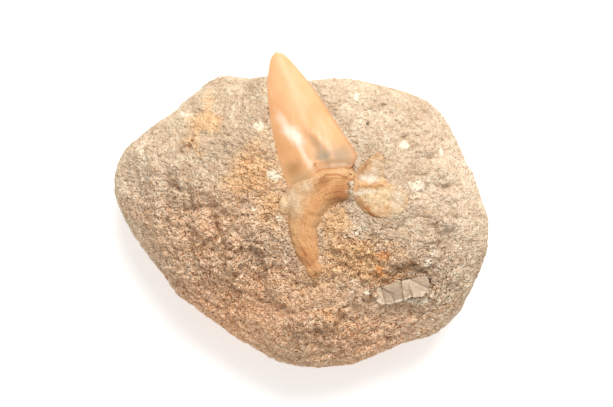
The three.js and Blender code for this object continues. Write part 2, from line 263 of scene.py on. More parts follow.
# Cracks across it: from, to
SHELL_CRACKS = (
    ((25.3, -21.0), (28.5, -22.8)),
    ((28.5, -22.8), (29.8, -26.2)),
    ((31.4, -18.5), (32.4, -25.5)),
    ((25.4, -21.4), (26.6, -25.8)),
    ((34.2, -20.6), (35.3, -24.2)),
    ((34.8, -18.4), (40.2, -21.2)),
)

# Stains, inclusions, coarser places, painted light and painted shade in the stone: middle, half-lengths
# and strength
STAINS = (
    ((-16, 15), (10, 11), 0.95),
    ((-9, 8), (6, 9), 0.8),
    ((-31, 33), (6, 9), 0.75),
    ((-34, 25), (5, 5), 0.7),
    ((11, -1), (7, 9), 0.8),
    ((18, -12), (14, 9), 0.95),
    ((31, -16.5), (7, 3), 0.8),
    ((4, -20), (12, 8), 0.6),
    ((10, -32), (7, 9), 0.45),
    ((-6, 3), (4, 8), 0.5),
)
BRIGHT_STAINS = (
    ((26, -10.6), (2.6, 1.8), 1.0),
    ((24.6, -15.7), (1.8, 2.6), 0.9),
    ((34.6, -12.9), (4, 1.4), 0.55),
    ((14, 7), (3, 1.6), 0.4),
    ((9, -30), (1.2, 5), 0.5),
)
INCLUSIONS = (
    ((-13.8, 31.0), (1.7, 1.9), 1.0),
    ((-9.3, 15.2), (2.2, 1.8), 1.0),
    ((-15.9, 3.8), (1.1, 0.9), 0.7),
    ((-7.4, 1.3), (1.0, 0.9), 0.9),
    ((32.5, 24.7), (1.7, 1.6), 0.9),
    ((44.4, 22.3), (1.0, 2.0), 0.8),
    ((17.3, 39.6), (0.9, 1.5), 0.9),
    ((25.6, 33.7), (3.4, 1.6), 0.4),
    ((36.7, 11.8), (3.4, 2.6), 0.6),
    ((-37.6, 34.3), (2.4, 1.2), 0.5),
    ((-52.3, 22.2), (1.4, 2.8), 0.5),
    ((-44.5, 9.7), (2.0, 1.2), 0.5),
    ((20.4, -22.7), (1.1, 0.9), 0.8),
    ((18.6, -2.6), (4.0, 2.6), 0.4),
    ((42, -10), (3, 2), 0.5),
    ((19, 9.6), (3.4, 1.0), 0.6),
    ((34.3, -24.8), (4.0, 0.8), 0.8),
    ((39.0, -25.4), (2.6, 0.9), 0.8),
    ((39.9, -13.2), (1.5, 1.4), 0.7),
)
# Redder places of the lower side: the stone is redder there, and its colour is also lifted as painted
# warm bounce light
WARM_AND_BOUNCE_PLACES = (
    ((-22, -30), (34, 20), 1.0),
    ((18, -38), (26, 14), 0.9),
    ((-30, -4), (22, 14), 0.7),
)
# Painted light: places at the stone's sides made paler, where soft light falls on them from all round
PAINTED_LIGHT_PLACES = (
    ((48, 14), (16, 24), 1.0),
    ((-52, 13), (11, 15), 0.8),
    ((32, -34), (20, 9), 0.8),
    ((48, -10), (11, 14), 0.7),
    ((22, 34), (16, 9), 0.5),
    ((20, -3), (8, 5), 0.5),
)
COARSE_PLACES = (
    ((-22, -14), (32, 24), 1.0),
    ((18, -12), (18, 13), 1.0),
    ((14, -36), (34, 13), 1.0),
    ((-40, 2), (18, 14), 0.8),
    ((-15, 14), (9, 10), 0.6),
    ((38, -20), (20, 16), 1.0),
    ((12, 2), (8, 6), 0.5),
)
# Dark grains, and painted shade in small holes, slots and gaps
DARK_GRAINS_AND_HOLE_SHADE = (
    ((40.9, -18.9), (0.4, 1.1), 0.9),
    ((41.8, -20.7), (0.9, 0.3), 0.7),
    ((-14.0, 31.9), (0.35, 0.35), 1.0),
    ((20.8, 31.3), (0.9, 0.8), 0.8),
    ((-5.4, 10.0), (1.4, 0.9), 0.55),
    ((12.6, -3.4), (4.2, 0.5), 0.3),
    ((37.0, -15.4), (2.6, 0.4), 0.45),
    ((35.3, 28.9), (0.5, 1.6), 0.5),
    ((-4.5, -45.4), (1.6, 1.0), 0.9),
    ((-9.5, 12.2), (2.2, 0.5), 0.5),
)
# Marks of the upper face: how many times the places' wander shifts them, and their table
MARKS = {
    "stain": (1.6, STAINS),
    "bright_stain": (0.35, BRIGHT_STAINS),
    "inclusion": (0.4, INCLUSIONS),
    "dark_spot": (0.1, DARK_GRAINS_AND_HOLE_SHADE),
}
MARK_WANDER = 2.2

# The stage, in metres, with the middle of the view and the sensor's width in millimetres
FLOOR_HALF = 3.0
FLOOR_DROP = 0.0002
KEY_PLACE = (0.25, 0.88, 1.16)
KEY_TARGET = (0, 0, 0.03)
KEY_SIZE = 1.0
SKY_COLOR = (1, 0.99, 0.97, 1)
VIEW_WIDTH = 0.1962
VIEW_MIDDLE = (1.44, 5.92)
FOCUS_HEIGHT = 0.03
SENSOR_WIDTH = 36


# Maths on whole arrays


def smoothstep(x, low, high):
    """Rises from 0 to 1 between low and high, level at both ends."""
    f = np.clip((x - low) / (high - low), 0, 1)
    return f * f * (3 - 2 * f)


def lerp(a, b, f):
    """a where f is 0 and b where it is 1."""
    return a + (b - a) * f


def speck(i, j, k):
    """A repeatable number from 0 to 1 for each whole-number place in space: the place is
    multiplied by large odd numbers, and its bits are stirred."""
    i, j, k = (np.asarray(n).astype(np.int64).astype(np.uint32) for n in (i, j, k))
    h = i * np.uint32(374761393) ^ j * np.uint32(668265263) ^ k * np.uint32(1274126177)
    h = (h ^ (h >> np.uint32(13))) * np.uint32(1103515245)
    return (h ^ (h >> np.uint32(16))) / 4294967296


def smooth_noise(x, y, z):
    """Noise from -1 to 1: specks at the corners of a unit grid, blended between them."""
    x, y, z = np.broadcast_arrays(x, y, z)
    i, j, k = np.floor(x), np.floor(y), np.floor(z)
    u, v, w = (smoothstep(f, 0, 1) for f in (x - i, y - j, z - k))

    def row(dj, dk):
        """The specks at the two ends of a cube's edge along x, blended."""
        return lerp(speck(i, j + dj, k + dk), speck(i + 1, j + dj, k + dk), u)

    return 2 * lerp(lerp(row(0, 0), row(1, 0), v), lerp(row(0, 1), row(1, 1), v), w) - 1


def through_four(a, b, c, d, f):
    """The value at fraction f between b and c, on a smooth curve through a, b, c and d."""
    return b + 0.5 * f * (c - a + f * (2 * a - 5 * b + 4 * c - d + f * (3 * (b - c) + d - a)))


def rim_radius(angle):
    """Radius of the stone's rim: a smooth closed curve through RIM_RADII."""
    radii = np.array(RIM_RADII)
    place = (angle / TURN * len(radii)) % len(radii)
    i = np.floor(place).astype(int)
    near = (radii[(i + step) % len(radii)] for step in (-1, 0, 1, 2))
    return through_four(*near, place - i)


def table_rows(rows, f):
    """Rows between the rows of a table, on smooth curves through them; f runs from 0 to 1."""
    rows = np.array(rows, float)
    place = np.clip(f, 0, 1) * (len(rows) - 1)
    i = np.minimum(np.floor(place).astype(int), len(rows) - 2)
    near = (rows[np.clip(i + step, 0, len(rows) - 1)] for step in (-1, 0, 1, 2))
    return through_four(*near, (place - i)[:, None])


def along_and_across(x, y, start, end):
    """Place along a line, 0 to 1, and distance to its right in millimetres."""
    ax, ay = end[0] - start[0], end[1] - start[1]
    length = math.hypot(ax, ay)
    px, py = x - start[0], y - start[1]
    return (px * ax + py * ay) / length**2, (px * ay - py * ax) / length


def drift(x, y, broad, fine, layers):
    """Two shifts that wander over the surface. Each is noise of a broad wavelength with half as
    much of a fine one, and the four noises are cut from four layers."""
    a, b, c, d = layers
    shift_x = smooth_noise(x / broad, y / broad, a) + 0.5 * smooth_noise(x / fine, y / fine, b)
    shift_y = smooth_noise(x / broad, y / broad, c) + 0.5 * smooth_noise(x / fine, y / fine, d)
    return shift_x, shift_y


def along_table(rows, f):
    """Rows of a table at fractions f, with the direction of the line through them and the
    distance along it."""
    table = table_rows(rows, f)
    ahead = table_rows(rows, f + 0.01)[:, :2] - table_rows(rows, f - 0.01)[:, :2]
    ahead /= np.linalg.norm(ahead, axis=1, keepdims=True)
    steps = np.linalg.norm(np.diff(table[:, :2], axis=0), axis=1)
    return table, ahead, np.concatenate([[0], np.cumsum(steps)])[:, None]


def paint(x, y, base, tints, wander):
    """Colours at each place: a base, with soft oval tints laid over it in turn. The places are
    shifted a little by noise, so that the tints' edges wander."""
    shift_x, shift_y = drift(x, y, 2.4, 0.8, (60.0, 61.0, 62.0, 63.0))
    x, y = x + wander * shift_x, y + wander * shift_y
    colors = np.empty((*x.shape, 4))
    colors[...] = (*base, 1)
    for (cx, cy), (rx, ry), turn, strength, color in tints:
        c, s = math.cos(math.radians(turn)), math.sin(math.radians(turn))
        u, v = (x - cx) * c + (y - cy) * s, (y - cy) * c - (x - cx) * s
        share = strength * np.exp(-(((u / rx) ** 2 + (v / ry) ** 2) ** 1.3))
        colors += share[..., None] * (np.array((*color, 1)) - colors)
    return colors


def spots(x, y, table):
    """The strongest of a table of soft oval spots at each place."""
    best = np.zeros_like(x)
    for (cx, cy), (rx, ry), strength in table:
        best = np.maximum(best, strength * np.exp(-(((x - cx) / rx) ** 2) - ((y - cy) / ry) ** 2))
    return best


def tooth_level(x, y, top):
    """Height of the bowed surface on which the tooth's edges lie."""
    (mx, my), bow_x, bow_y = TOOTH_BOW
    return top - bow_x * (x - mx) ** 2 - bow_y * (y - my) ** 2


def even_rows(rows):
    """Rows with one half-width, with it repeated for left and right."""
    return [(x, y, half, half, rise, depth) for x, y, half, rise, depth in rows]


def crown_rows():
    """The crown's table with places along its axis turned into x and y."""
    (fx, fy), (ux, uy) = CROWN_FOOT, CROWN_AIM
    return [(fx + s * ux, fy + s * uy, *widths) for s, *widths in CROWN]


def inside_rows(x, y, rows):
    """How far inside a part's outline each place lies, 1 on the part's line and 0 on the outline,
    and the part's rise there."""
    inside, rise = np.full_like(x, -9.0), np.zeros_like(x)
    for a, b in zip(rows, rows[1:]):
        along, side = along_and_across(x, y, a, b)
        f = np.clip(along, 0, 1)
        half = np.where(side < 0, lerp(a[2], b[2], f), lerp(a[3], b[3], f))
        distance = np.hypot(x - lerp(a[0], b[0], f), y - lerp(a[1], b[1], f))
        here = 1 - distance / np.maximum(half, 0.3)
        better = here > inside
        inside = np.where(better, here, inside)
        rise = np.where(better, lerp(a[4], b[4], f), rise)
    return inside, rise


def inside_tooth(x, y):
    """How far inside the tooth's seen outline each place lies."""
    tables = (crown_rows(), *map(even_rows, (NECK, ROOT, RIGHT_CUSPLET, LEFT_CUSPLET)))
    return np.maximum.reduce([inside_rows(x, y, rows)[0] for rows in tables])


def part_form(x, y, rows, edge):
    """Height of one part of the tooth above the tooth's level, and how far inside the part each
    place lies. With c the distance from the part's line over its half-width, the height is
    rise (1 - c^2)^(edge/2) inside, and falls away outside."""
    inside, rise = inside_rows(x, y, table_rows(rows, np.linspace(0, 1, PART_STRETCHES + 1)))
    bulge = np.clip(1 - (1 - inside) ** 2, 0, None) ** (edge / 2)
    return rise * bulge - 4 * np.clip(-inside, 0, 1), inside


def smooth_max(a, b, blend):
    """The larger of two heights, with a fillet where they meet."""
    return 0.5 * (a + b + np.sqrt((a - b) ** 2 + blend**2))


def root_form(x, y):
    """Height of neck, root and cusplets above the tooth's level, blended into one body, with the
    inside measure of each part by name."""
    shift_x, shift_y = drift(x, y, 2.2, 0.9, (40.0, 41.0, 42.0, 43.0))
    wx, wy = x + ROOT_WANDER * shift_x, y + ROOT_WANDER * shift_y
    height, inside = None, {}
    parts = (
        ("root", ROOT, ROUND_EDGE),
        ("neck", NECK, ROUND_EDGE),
        ("right_cusplet", RIGHT_CUSPLET, CUTTING_EDGE),
        ("left_cusplet", LEFT_CUSPLET, ROUND_EDGE),
    )
    for name, rows, edge in parts:
        form, inside[name] = part_form(wx, wy, even_rows(rows), edge)
        height = form if height is None else smooth_max(height, form, PARTS_BLEND)
    return np.maximum(height, -BLANKET_DEPTH), inside


# Meshes


def grid_mesh(name, points, attributes):
    """A closed surface from rows of points in millimetres, with values kept at its points. Each
    row runs right round, and the first and last rows shrink to the poles. Faces are turned to
    point outwards."""
    rows, columns, _ = points.shape
    ring = points[1:-1].reshape(-1, 3)
    vertices = np.vstack([ring, points[0].mean(axis=0), points[-1].mean(axis=0)])
    first, last = len(ring), len(ring) + 1
    here = np.arange(columns)
    after = (here + 1) % columns
    base = (np.arange(rows - 3) * columns)[:, None]
    corners = [base + here, base + after, base + columns + after, base + columns + here]
    quads = np.stack(corners, axis=-1).reshape(-1, 4)
    end = (rows - 3) * columns
    first_cap = np.stack([np.full(columns, first), after, here], axis=-1)
    last_cap = np.stack([np.full(columns, last), end + here, end + after], axis=-1)
    faces = quads.tolist() + first_cap.tolist() + last_cap.tolist()
    places = vertices[quads]
    normals = np.cross(places[:, 2] - places[:, 0], places[:, 3] - places[:, 1])
    outward = ((places.mean(axis=1) - vertices.mean(axis=0)) * normals).sum() > 0
    if not outward:
        faces = [face[::-1] for face in faces]
    mesh = bpy.data.meshes.new(name)
    mesh.from_pydata((vertices * MM).tolist(), [], faces)
    for label, values in attributes.items():
        colored = values.ndim == 3
        inner = values[1:-1].reshape(-1, values.shape[-1] if colored else 1)
        poles = [inner[:columns].mean(axis=0), inner[-columns:].mean(axis=0)]
        kind, field = ("FLOAT_COLOR", "color") if colored else ("FLOAT", "value")
        kept = mesh.attributes.new(label, kind, "POINT")
        kept.data.foreach_set(field, np.vstack([inner, *poles]).reshape(-1))
    mesh.shade_smooth()
    mesh.update()
    return mesh


def place_piece(name, mesh, material, node):
    """An object at the origin that rides the root body and stands for a node of the frame."""
    piece = bpy.data.objects.new(name, mesh)
    bpy.context.collection.objects.link(piece)
    mesh.materials.append(material)
    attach(piece, "root")
    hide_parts(node)


def face_forms(x, y):
    """Change of the stone's upper face by its ledges and mounds: past each ledge's line the
    surface steps down and climbs back; each mound is a soft bell."""
    rise = np.zeros_like(x)
    for start, end, drop, reach in LEDGES:
        along, across = along_and_across(x, y, start, end)
        ends = smoothstep(along, -0.25, 0.2) * smoothstep(1 - along, -0.25, 0.2)
        step = smoothstep(across, 0, LEDGE_STEP) * (1 - smoothstep(across, LEDGE_STEP, reach))
        rise -= drop * ends * step
    for (cx, cy), (rx, ry), height in MOUNDS:
        rise += height * np.exp(-(((x - cx) / rx) ** 2) - ((y - cy) / ry) ** 2)
    return rise


def noise_layers(p, layers):
    """Sum of layers of noise at points p. A round layer takes three times the noise's size less
    its usual mean, so that its lumps are round and have creases between."""
    total = np.zeros(p.shape[:-1])
    for number, (wavelength, height, rounded, flattening) in enumerate(layers):
        x, y, z = np.moveaxis(p, -1, 0) / wavelength
        n = smooth_noise(x + 17 * number, y, z * flattening)
        total += height * (3 * np.abs(n) - 0.8 if rounded else n)
    return total


def strip_over_root(x, y):
    """1 on the thin strip of stone that crosses the root, 0 off it."""
    start, end, half = STRIP
    along, across = along_and_across(x, y, start, end)
    across = across + 0.5 * smooth_noise(x / 1.1, y / 1.1, 50.0)
    return (1 - smoothstep(np.abs(across), half * 0.5, half)) * (np.abs(along - 0.5) < 0.5)


def stone_body(settings):
    """The stone's main form over a grid of latitude and angle: a boxy flattened ball whose widest
    level has the rim's outline. With q the squareness, its radius goes with the latitude's cosine
    to the power 2/q and its height with the sine to 2/q. Gives the points, their outward normals
    and the latitude's sine."""
    up = np.linspace(math.pi / 2, 0, settings.rows_up, endpoint=False)
    down = np.linspace(0, -math.pi / 2, settings.rows_down)
    latitude = np.concatenate([up, down])[:, None]
    angle = np.linspace(0, TURN, settings.columns, endpoint=False)[None, :] + 0 * latitude
    out = np.clip(np.cos(latitude), 0, 1) + 0 * angle
    lift = np.sin(latitude) + 0 * angle
    squareness = np.where(lift > 0, TOP_SQUARENESS, UNDER_SQUARENESS)
    depth = np.where(lift > 0, settings.top_rise / MM, UNDER_DEPTH)
    radius = rim_radius(angle) * out ** (2 / squareness)
    crestward = np.clip(lift, 0, None) ** 1.5
    x = CREST_SHIFT[0] * crestward + radius * np.cos(angle)
    y = CREST_SHIFT[1] * crestward + radius * np.sin(angle)
    z = settings.rim_height / MM + np.sign(lift) * depth * np.abs(lift) ** (2 / squareness)
    steepness = 2 - 2 / squareness
    side = out**steepness / rim_radius(angle)
    rise = np.sign(lift) * np.abs(lift) ** steepness / depth
    normal = np.stack([np.cos(angle) * side, np.sin(angle) * side, rise], axis=-1)
    normal /= np.linalg.norm(normal, axis=-1, keepdims=True)
    return np.stack([x, y, z], axis=-1), normal, lift


def beneath_pieces(x, y, z, level, upper):
    """Height of the stone with room for the pieces in its upper face: it steps down beside the
    crown with a groove along its right edge, sinks below crown, root and shell, and stays on the
    root only along the strip. upper is 1 on the upper face and 0 below the rim."""
    _, crown = part_form(x, y, crown_rows(), CUTTING_EDGE)
    groove = np.exp(-(((crown + 0.06) / 0.07) ** 2)) * smoothstep(x + 0.38 * y, 16, 20)
    beside = CROWN_STEP * smoothstep(crown, -0.22, 0.0) + CROWN_GROOVE * groove
    z = z - upper * (beside + SUNK_BELOW_CROWN * smoothstep(crown, 0.12, 0.3))
    root, _ = root_form(x, y)
    strip = strip_over_root(x, y)
    proud = level + root - z
    z = z - upper * SUNK_BELOW_ROOT * smoothstep(proud, 0.15, 0.9) * (1 - strip)
    z = z + upper * strip * np.clip(proud + STRIP_COVER, 0, None)
    z = z - upper * SUNK_BELOW_SHELL * smoothstep(shell_inside(x, y), 0.08, 0.25)
    return np.maximum(z, 0)


def stone_marks(x, y, upper):
    """Marks of the stone kept on its mesh, from 0 to 1. Places are shifted by noise before the
    tables are looked up, so that the marks' edges wander."""
    shift_x, shift_y = drift(x, y, 4, 1.6, (3.5, 7.5, 13.5, 17.5))
    shift_x, shift_y = MARK_WANDER * shift_x, MARK_WANDER * shift_y
    marks = {
        "warmth": spots(x, y, WARM_AND_BOUNCE_PLACES),
        "paleness": spots(x + shift_x, y + shift_y, PAINTED_LIGHT_PLACES),
    }
    for name, (share, table) in MARKS.items():
        marks[name] = upper * spots(x + share * shift_x, y + share * shift_y, table)
    return marks


def stone_surface(settings):
    """The stone: its main form, with lumps and crumbs that stand out along its normal. The upper
    face takes its ledges and mounds and comes up to the tooth's edges."""
    p, normal, lift = stone_body(settings)
    lumps = noise_layers(p, [(*layer, BED_FLATTENING) for layer in LUMPS])
    edgewise = lerp(0.2, 1, smoothstep(np.abs(lift), 0, 0.4))
    p += normal * (lumps * edgewise)[..., None]

    x, y = p[..., 0], p[..., 1]
    upper = smoothstep(lift, 0.05, 0.4)
    p[..., 2] += upper * face_forms(x, y)
    collar = upper * smoothstep(inside_tooth(x, y), -1.1, -0.1)
    level = tooth_level(x, y, settings.tooth_level / MM)
    p[..., 2] = lerp(p[..., 2], level + COLLAR_RISE + COLLAR_LUMPS * lumps, collar)

    coarse = np.clip(spots(x, y, COARSE_PLACES), 0, 1)
    crumbs = noise_layers(p, CRUMBS) * settings.crumb_relief * lerp(0.85, 1.35, coarse)
    at_rim = 1 - smoothstep(np.abs(lift), 0.1, 0.5)
    calm = lerp(1, 0.4, collar) * lerp(1, 0.5, at_rim)
    p += normal * (crumbs * calm - settings.worn_off / MM * at_rim)[..., None]

    x, y, z = np.moveaxis(p, -1, 0)
    p = np.stack([x, y, beneath_pieces(x, y, z, level, upper)], axis=-1)
    attributes = stone_marks(x, y, upper)
    attributes["coarse"] = coarse
    attributes["hollow"] = np.clip(-crumbs / HOLLOW_DEPTH, -1, 1)
    return grid_mesh("matrix_stone_surface", p, attributes)


def crown_surface(settings):
    """The crown over a grid of place along its line and angle round it. At each place the
    section is a lens with its own half-widths, rise and depth: its height is the sine of the
    angle to the power CUTTING_EDGE. Relief adds fine form to the seen face."""
    count, columns = CROWN_GRID
    f = (1 - np.cos(np.linspace(0, math.pi, count))) / 2
    table, ahead, along = along_table(crown_rows(), f)
    x, y, left, right, rise, depth = (column[:, None] for column in table.T)
    angle = np.linspace(0, TURN, columns, endpoint=False)[None, :]
    lift = np.sin(angle)
    along = along + 0 * angle
    across = np.cos(angle) + 0 * along
    reach = across * np.where(across < 0, left, right)
    px, py = x + reach * ahead[:, 1:], y - reach * ahead[:, :1]
    height = np.sign(lift) * np.abs(lift) ** CUTTING_EDGE * np.where(lift > 0, rise, depth)
    px, py, extra = crown_relief(along, across, reach, px, py)
    fade = np.clip(lift, 0, 1) ** 1.5 * np.clip(rise / 2, 0, 1)
    pz = tooth_level(px, py, settings.level / MM) + height + extra * fade
    base, wander = tuple(settings.enamel), settings.tint_wander / MM
    tint = paint(reach, along + CROWN_START, base, crown_tints(settings), wander)
    attributes = {"along": along, "across": across, "reach": reach, "tint": tint}
    return grid_mesh("crown_surface", np.stack([px, py, pz], axis=-1), attributes)


def root_tints(settings):
    """Tints of the root: middle, half-lengths, turn in degrees, strength and colour."""
    brown, deep, worn = tuple(settings.root), tuple(settings.root_painted_shade), tuple(settings.worn)
    cream, ochre = tuple(settings.lobe), tuple(settings.lobe_ochre_and_shade)
    return (
        ((24.5, 7.2), (9.5, 6.5), 0, 1.0, cream),
        ((1.4, -9.4), (5.4, 9.6), 8, 1.0, brown),
        ((10.2, 10.6), (7.0, 4.6), 8, 1.0, brown),
        ((4.2, 5.4), (6.4, 2.9), 57, 1.0, brown),
        ((1.0, 0.4), (3.2, 4.0), 0, 0.8, brown),
        # Painted shade: the root darker below its rim, where it falls away from the light, and painted
        # shadow along the rim line, the creases and the left edge
        ((12.4, 9.0), (4.0, 3.0), 8, 0.95, deep),
        ((7.2, 12.6), (2.6, 1.5), 35, 0.6, deep),
        ((6.3, 13.7), (1.7, 0.4), 40, 0.8, deep),
        ((9.4, 14.8), (2.4, 0.35), 4, 0.8, deep),
        ((13.5, 14.0), (2.4, 0.35), -24, 0.8, deep),
        ((0.2, -9.5), (0.6, 3.4), 30, 0.6, deep),
        ((1.4, -12.0), (3.6, 2.6), -50, 0.5, deep),
        ((-3.0, 7.0), (2.6, 5.5), 20, 0.3, worn),
        ((1.4, 11.4), (2.2, 2.2), 57, 0.3, worn),
        ((-3.8, -1.0), (0.9, 4), 0, 0.4, ochre),
        ((22.6, 11.7), (5.8, 1.1), 3, 1.0, ochre),
        ((19.2, 9.4), (4.2, 0.9), 0, 0.95, worn),
        ((21.3, 14.2), (3.0, 1.4), 0, 1.0, tuple(settings.milky_and_highlight)),
        ((27.6, 4.4), (2.2, 1.4), 20, 0.8, ochre),
        # Painted shadow along the right lobe's undercut lower edge
        ((21.4, 3.4), (5.2, 1.2), -42, 0.9, ochre),
        ((21.3, 3.3), (3.9, 0.5), -44, 0.9, deep),
        ((20.2, 17.8), (0.5, 2.8), -42, 0.7, deep),
        ((22.2, 18.4), (0.6, 1.6), 0, 0.7, ochre),
        ((24.0, 17.6), (2.4, 3.0), 0, 0.55, worn),
        ((30.5, 8.0), (2.6, 5.0), 0, 0.6, worn),
        ((-5.6, 5.8), (2.0, 2.4), 0, 0.8, cream),
        # Painted shade along the nub's lower edge and in the crease above it
        ((4.0, -16.8), (1.7, 0.4), 14, 0.7, deep),
        ((3.1, -13.8), (1.7, 0.35), -18, 0.7, deep),
    )


def crown_tints(settings):
    """Tints of the crown: distance across and place up it, half-lengths, turn, strength, colour."""
    orange, cream = tuple(settings.orange), tuple(settings.enamel_tip)
    milky_and_highlight, grey = tuple(settings.milky_and_highlight), tuple(settings.grey)
    dark, neck, amber = tuple(settings.root_painted_shade), tuple(settings.neck), tuple(settings.amber)
    return (
        ((0.5, 36), (7, 9), 0, 0.7, cream),
        ((-8.0, 10.8), (2.8, 6.8), 12, 1.0, orange),
        ((-7.4, 4.6), (3.2, 3.0), 0, 0.9, amber),
        ((0.3, 17), (1.5, 7), 0, 0.45, orange),
        ((1.9, 9.6), (1.2, 6.6), 18, 0.95, amber),
        ((1.5, 9.0), (1.0, 5.4), 18, 0.3, grey),
        ((2.2, 4.4), (2.4, 3.8), 20, 0.85, grey),
        ((7.8, 3.4), (4.8, 3.6), -10, 0.7, grey),
        ((4.9, 3.4), (0.8, 0.8), 0, 0.7, orange),
        # Painted highlight along the low ridge right of the valley
        ((3.9, 10.0), (1.0, 4.6), 20, 0.18, milky_and_highlight),
        ((-3.0, 6.4), (1.1, 6.4), 8, 0.5, milky_and_highlight),
        # Painted highlight: the white patch on the ridge left of the middle
        ((-5.6, 21.0), (1.2, 3.0), 10, 0.4, milky_and_highlight),
        ((-4.3, 15.2), (1.9, 4.6), 22, 0.9, milky_and_highlight),
        ((-3.7, 14.4), (0.9, 3.0), 22, 1.0, milky_and_highlight),
        ((-6.6, 0.6), (5.0, 1.9), 0, 0.85, neck),
        ((6.2, 0.0), (5.4, 0.5), 0, 0.35, milky_and_highlight),
        # Painted shade in the notch at the crown's foot
        ((-1.2, 0.8), (0.4, 1.0), 0, 0.9, dark),
    )


def crown_relief(along, across, reach, x, y):
    """A ridge left of the middle, a valley right of it, a soft swell with faint lengthwise ribs,
    and a lower margin that arches up in the middle. Gives the places moved by the margin's arch,
    and the height."""
    station = along + CROWN_START
    dip = np.interp(reach, *MARGIN) * (1 - smoothstep(station, 0, 7))
    x, y = x + dip * CROWN_AIM[0], y + dip * CROWN_AIM[1]
    start, end, depth, width = CROWN_FOLD
    place, side = along_and_across(x, y, start, end)
    valley = depth * np.exp(-((side / width) ** 2)) * (1 - smoothstep(place, 0.5, 1))
    ridge = CROWN_RIDGE * np.exp(-(((across + 0.42) / 0.22) ** 2))
    ridge *= smoothstep(station, 0, 12) * (1 - smoothstep(station, 16, 32))
    swell = CROWN_SWELL * smooth_noise(across * 2.2, station / 14, 5.0)
    ribs = CROWN_RIBS[0] * smooth_noise(reach * 1.4, station / 9, 1.0)
    ribs += CROWN_RIBS[1] * smooth_noise(reach * 3, station / 6, 2.0)
    calm = 1 - 0.9 * smoothstep(station, 14, 28)
    return x, y, ridge - valley + (swell + ribs) * calm - CROWN_SINK


def root_relief(x, y, reach, along, inside):
    """Fine form of the root: fibres along its arch, a soft swell, grain that is stronger on the
    right lobe, a lip where the rim meets the neck, a band across the lobe's foot, and oblique
    folds towards the root's end."""
    root, neck = inside["root"], inside["neck"]
    fibres = ROOT_FIBRES[0] * smooth_noise(reach * 1.6, along / 4, 1.0)
    fibres += ROOT_FIBRES[1] * smooth_noise(reach * 3.6, along / 2.4, 2.0)
    swell = ROOT_SWELL * smooth_noise(x / 5, y / 5, 4.0)
    sand = smooth_noise(x / 1.1, y / 1.1, 6.0) + smooth_noise(x / 2.3, y / 2.3, 7.0)
    grain = lerp(*ROOT_GRAIN, smoothstep(x, *LOBE_START)) * sand
    lip = np.exp(-(((root - 0.09) / 0.06) ** 2)) - np.exp(-((root / 0.05) ** 2))
    lip *= RIM_LIP * smoothstep(neck, -0.2, 0.1) * smoothstep(x, 1, 6)
    band = BAND_LIP * np.exp(-(((y - 11.9 - 0.06 * (x - 22)) / 0.7) ** 2))
    band *= smoothstep(x, 17, 18.5) * (1 - smoothstep(x, 26, 29))
    folds = ROOT_FOLDS * smooth_noise((x + 0.8 * y) * 1.1, (y - 0.8 * x) / 5, 9.0)
    folds *= smoothstep(-y, 2, 7)
    return fibres * smoothstep(root, 0.0, 0.25) + swell + grain + lip + band + folds


def blanket_surface(settings):
    """The root's seen face over a grid of place along its arch and across it: the blanket follows
    the height of the blended parts, and its underside is plain."""
    rows, top, under = BLANKET_GRID
    f = (1 - np.cos(np.linspace(0, math.pi, rows))) / 2
    f = lerp(f, np.linspace(0, 1, rows), 0.6)
    table, ahead, along = along_table(BLANKET, f)
    x, y, left, right = (column[:, None] for column in table.T)
    across = np.concatenate([np.linspace(-1, 1, top), np.linspace(1, -1, under)[1:-1]])[None, :]
    seen = np.arange(across.shape[1])[None, :] < top
    along = along + 0 * across
    reach = across * np.where(across < 0, left, right)
    px, py = x + reach * ahead[:, 1:], y - reach * ahead[:, :1]
    height, inside = root_form(px, py)
    relief = root_relief(px, py, reach, along, inside) * smoothstep(height, -0.6, 0.6)
    level = tooth_level(px, py, settings.level / MM)
    pz = level + np.where(seen, height + relief, -BLANKET_UNDERSIDE)
    base, wander = tuple(settings.neck), settings.tint_wander / MM
    tint = paint(px, py, base, root_tints(settings), wander)
    lobe = smoothstep(px, *LOBE_START)
    sandy = 0.25 + 0.75 * lobe * (1 - spots(px, py, CLEAN_PLACES))
    attributes = {"tint": tint, "along": along, "reach": reach, "sandy": sandy}
    return grid_mesh("root_surface", np.stack([px, py, pz], axis=-1), attributes)


def shell_inside(x, y):
    """How far inside the shell's outline a place lies: 1 at its middle, 0 on the outline. The
    outline is a ring of straight sides, and each place is measured along its own ray."""
    mx, my = SHELL_MIDDLE
    angle = np.arctan2(y - my, x - mx)
    return 1 - np.hypot(x - mx, y - my) / shell_radius(angle)


def shell_radius(angle):
    """Distance from the shell's middle to its outline at an angle."""
    mx, my = SHELL_MIDDLE
    corners = np.array(SHELL_OUTLINE) - (mx, my)
    a, b = corners, np.roll(corners, -1, axis=0)
    c, s = np.cos(angle)[..., None], np.sin(angle)[..., None]
    ex, ey = (b - a).T
    turn = c * ey - s * ex
    turn = np.where(np.abs(turn) < 1e-9, 1e-9, turn)
    reach = (a[:, 0] * ey - a[:, 1] * ex) / turn
    place = (a[:, 0] * s - a[:, 1] * c) / turn
    hit = (place >= -1e-6) & (place <= 1 + 1e-6) & (reach > 0)
    return np.where(hit, reach, np.inf).min(axis=-1)


